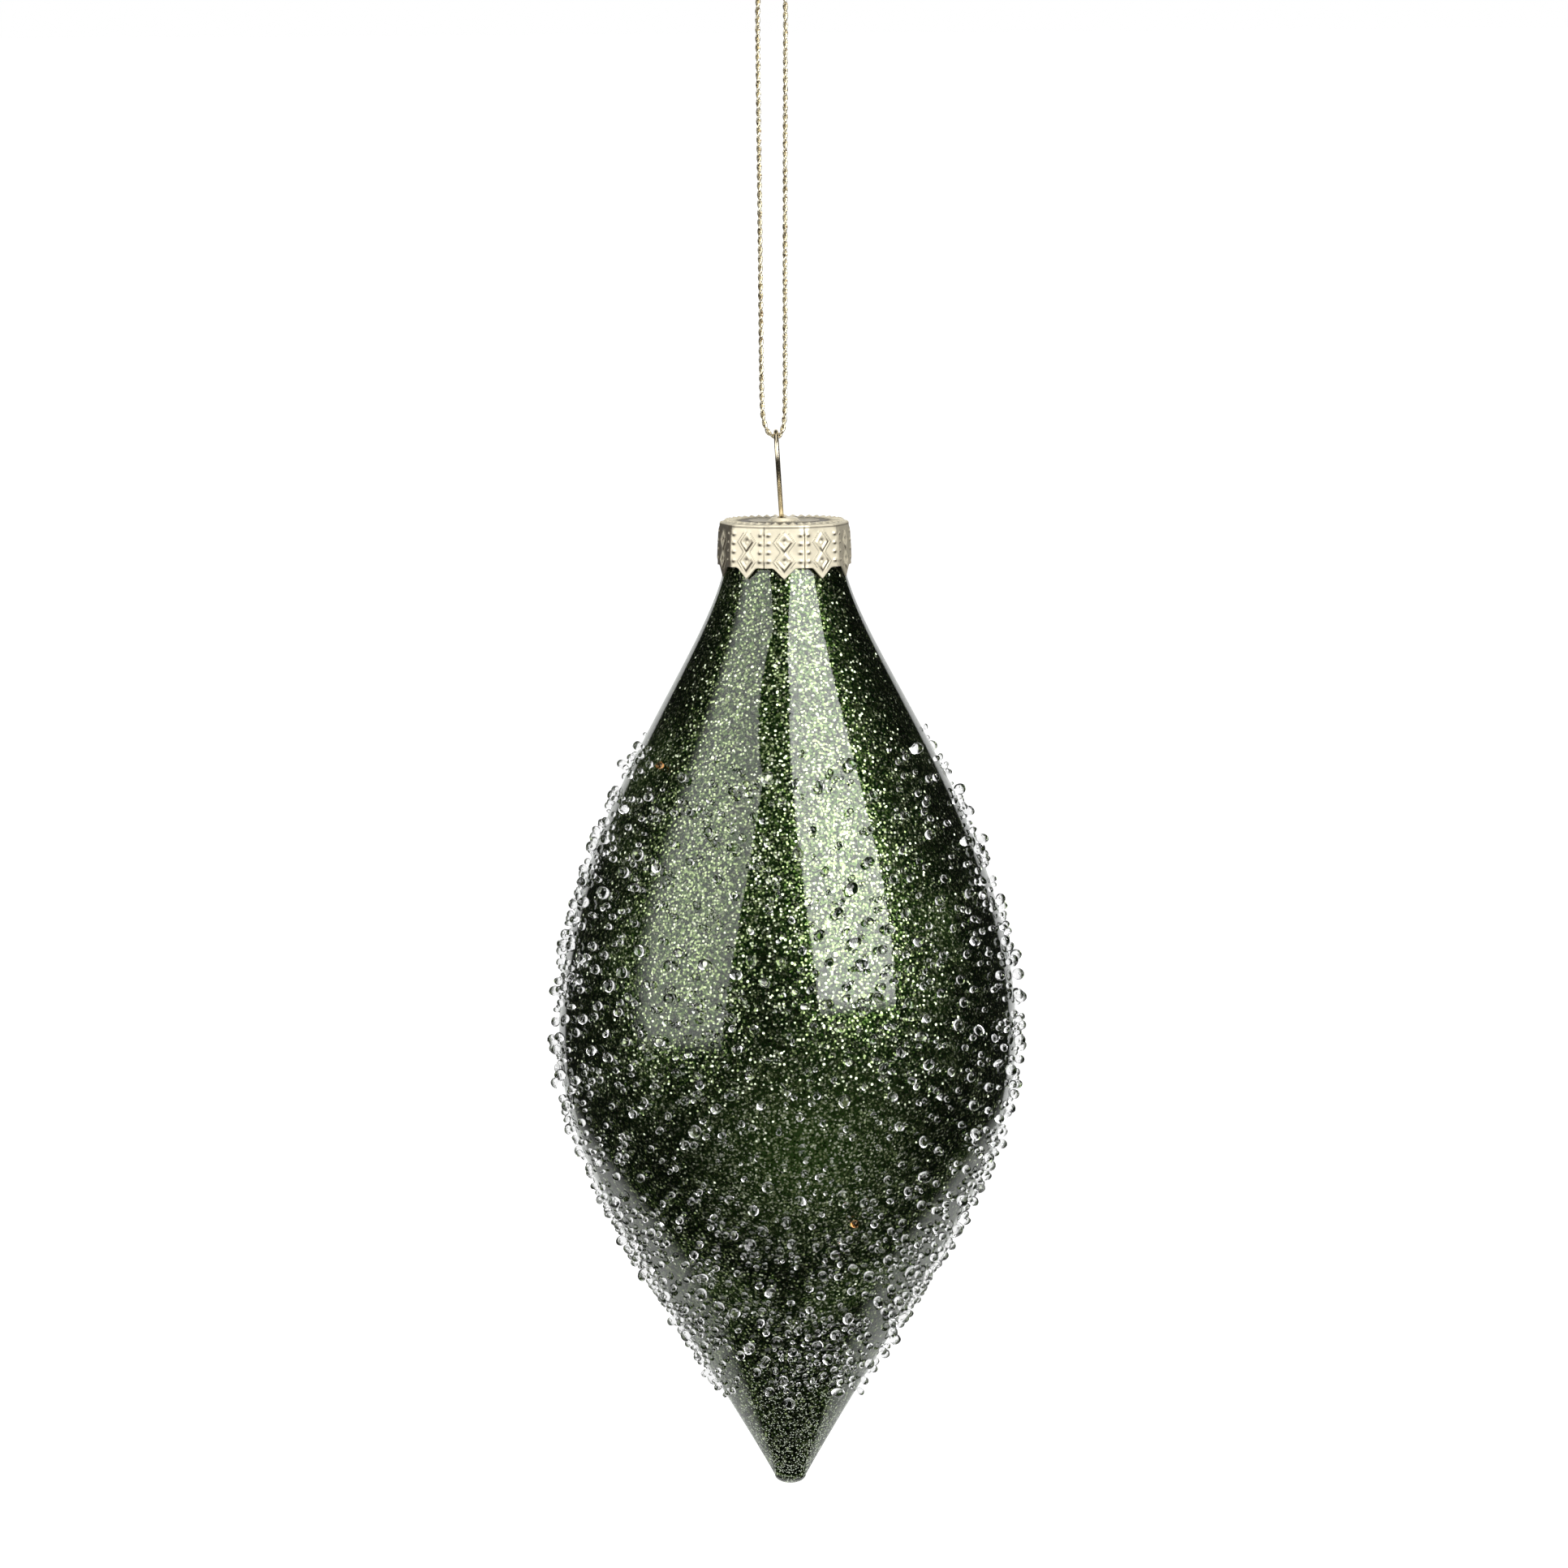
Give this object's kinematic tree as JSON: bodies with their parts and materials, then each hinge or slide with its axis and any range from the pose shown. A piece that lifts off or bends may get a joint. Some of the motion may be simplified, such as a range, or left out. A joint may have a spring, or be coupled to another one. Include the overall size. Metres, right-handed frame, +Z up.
{
  "type": "glass christmas ornament",
  "caption": "Hollow drop-shaped glass ornament with a glitter coat inside, clear beads outside, a stamped crown cap, a wire eye and a cord loop to hang it by.",
  "frame": {"origin": "inside of the wire eye, under its crown, where the cord or a hook carries the ornament", "axes": "+Z up along the hanging direction; -Y is the front of the picture; the glass axis is parallel to Z and stands 0.98 mm to +X, because the wire eye leans"},
  "size_m": [0.0635, 0.063, 0.2128],
  "materials": {
    "clear_glass": "clear blown glass, polished",
    "green_glitter": "dark green glitter flakes in clear lacquer",
    "bead_glass": "clear round glass beads",
    "champagne_metal": "thin stamped sheet, champagne gold, bright",
    "gold_wire": "bright drawn wire, pale gold",
    "metallic_cord": "twisted metallic thread, pale gold"
  },
  "bodies": {
    "root": {"glass_drop": "clear_glass", "glitter_coat": "green_glitter", "crown_cap": "champagne_metal", "wire_eye": "gold_wire", "hanging_cord": "metallic_cord", "cord_knot": "metallic_cord", "bead_band_1": "bead_glass", "bead_band_2": "bead_glass", "bead_band_3": "bead_glass", "bead_band_4": "bead_glass", "bead_band_5": "bead_glass", "bead_band_6": "bead_glass", "bead_band_7": "bead_glass", "bead_band_8": "bead_glass", "bead_band_9": "bead_glass"}
  },
  "joints": []
}
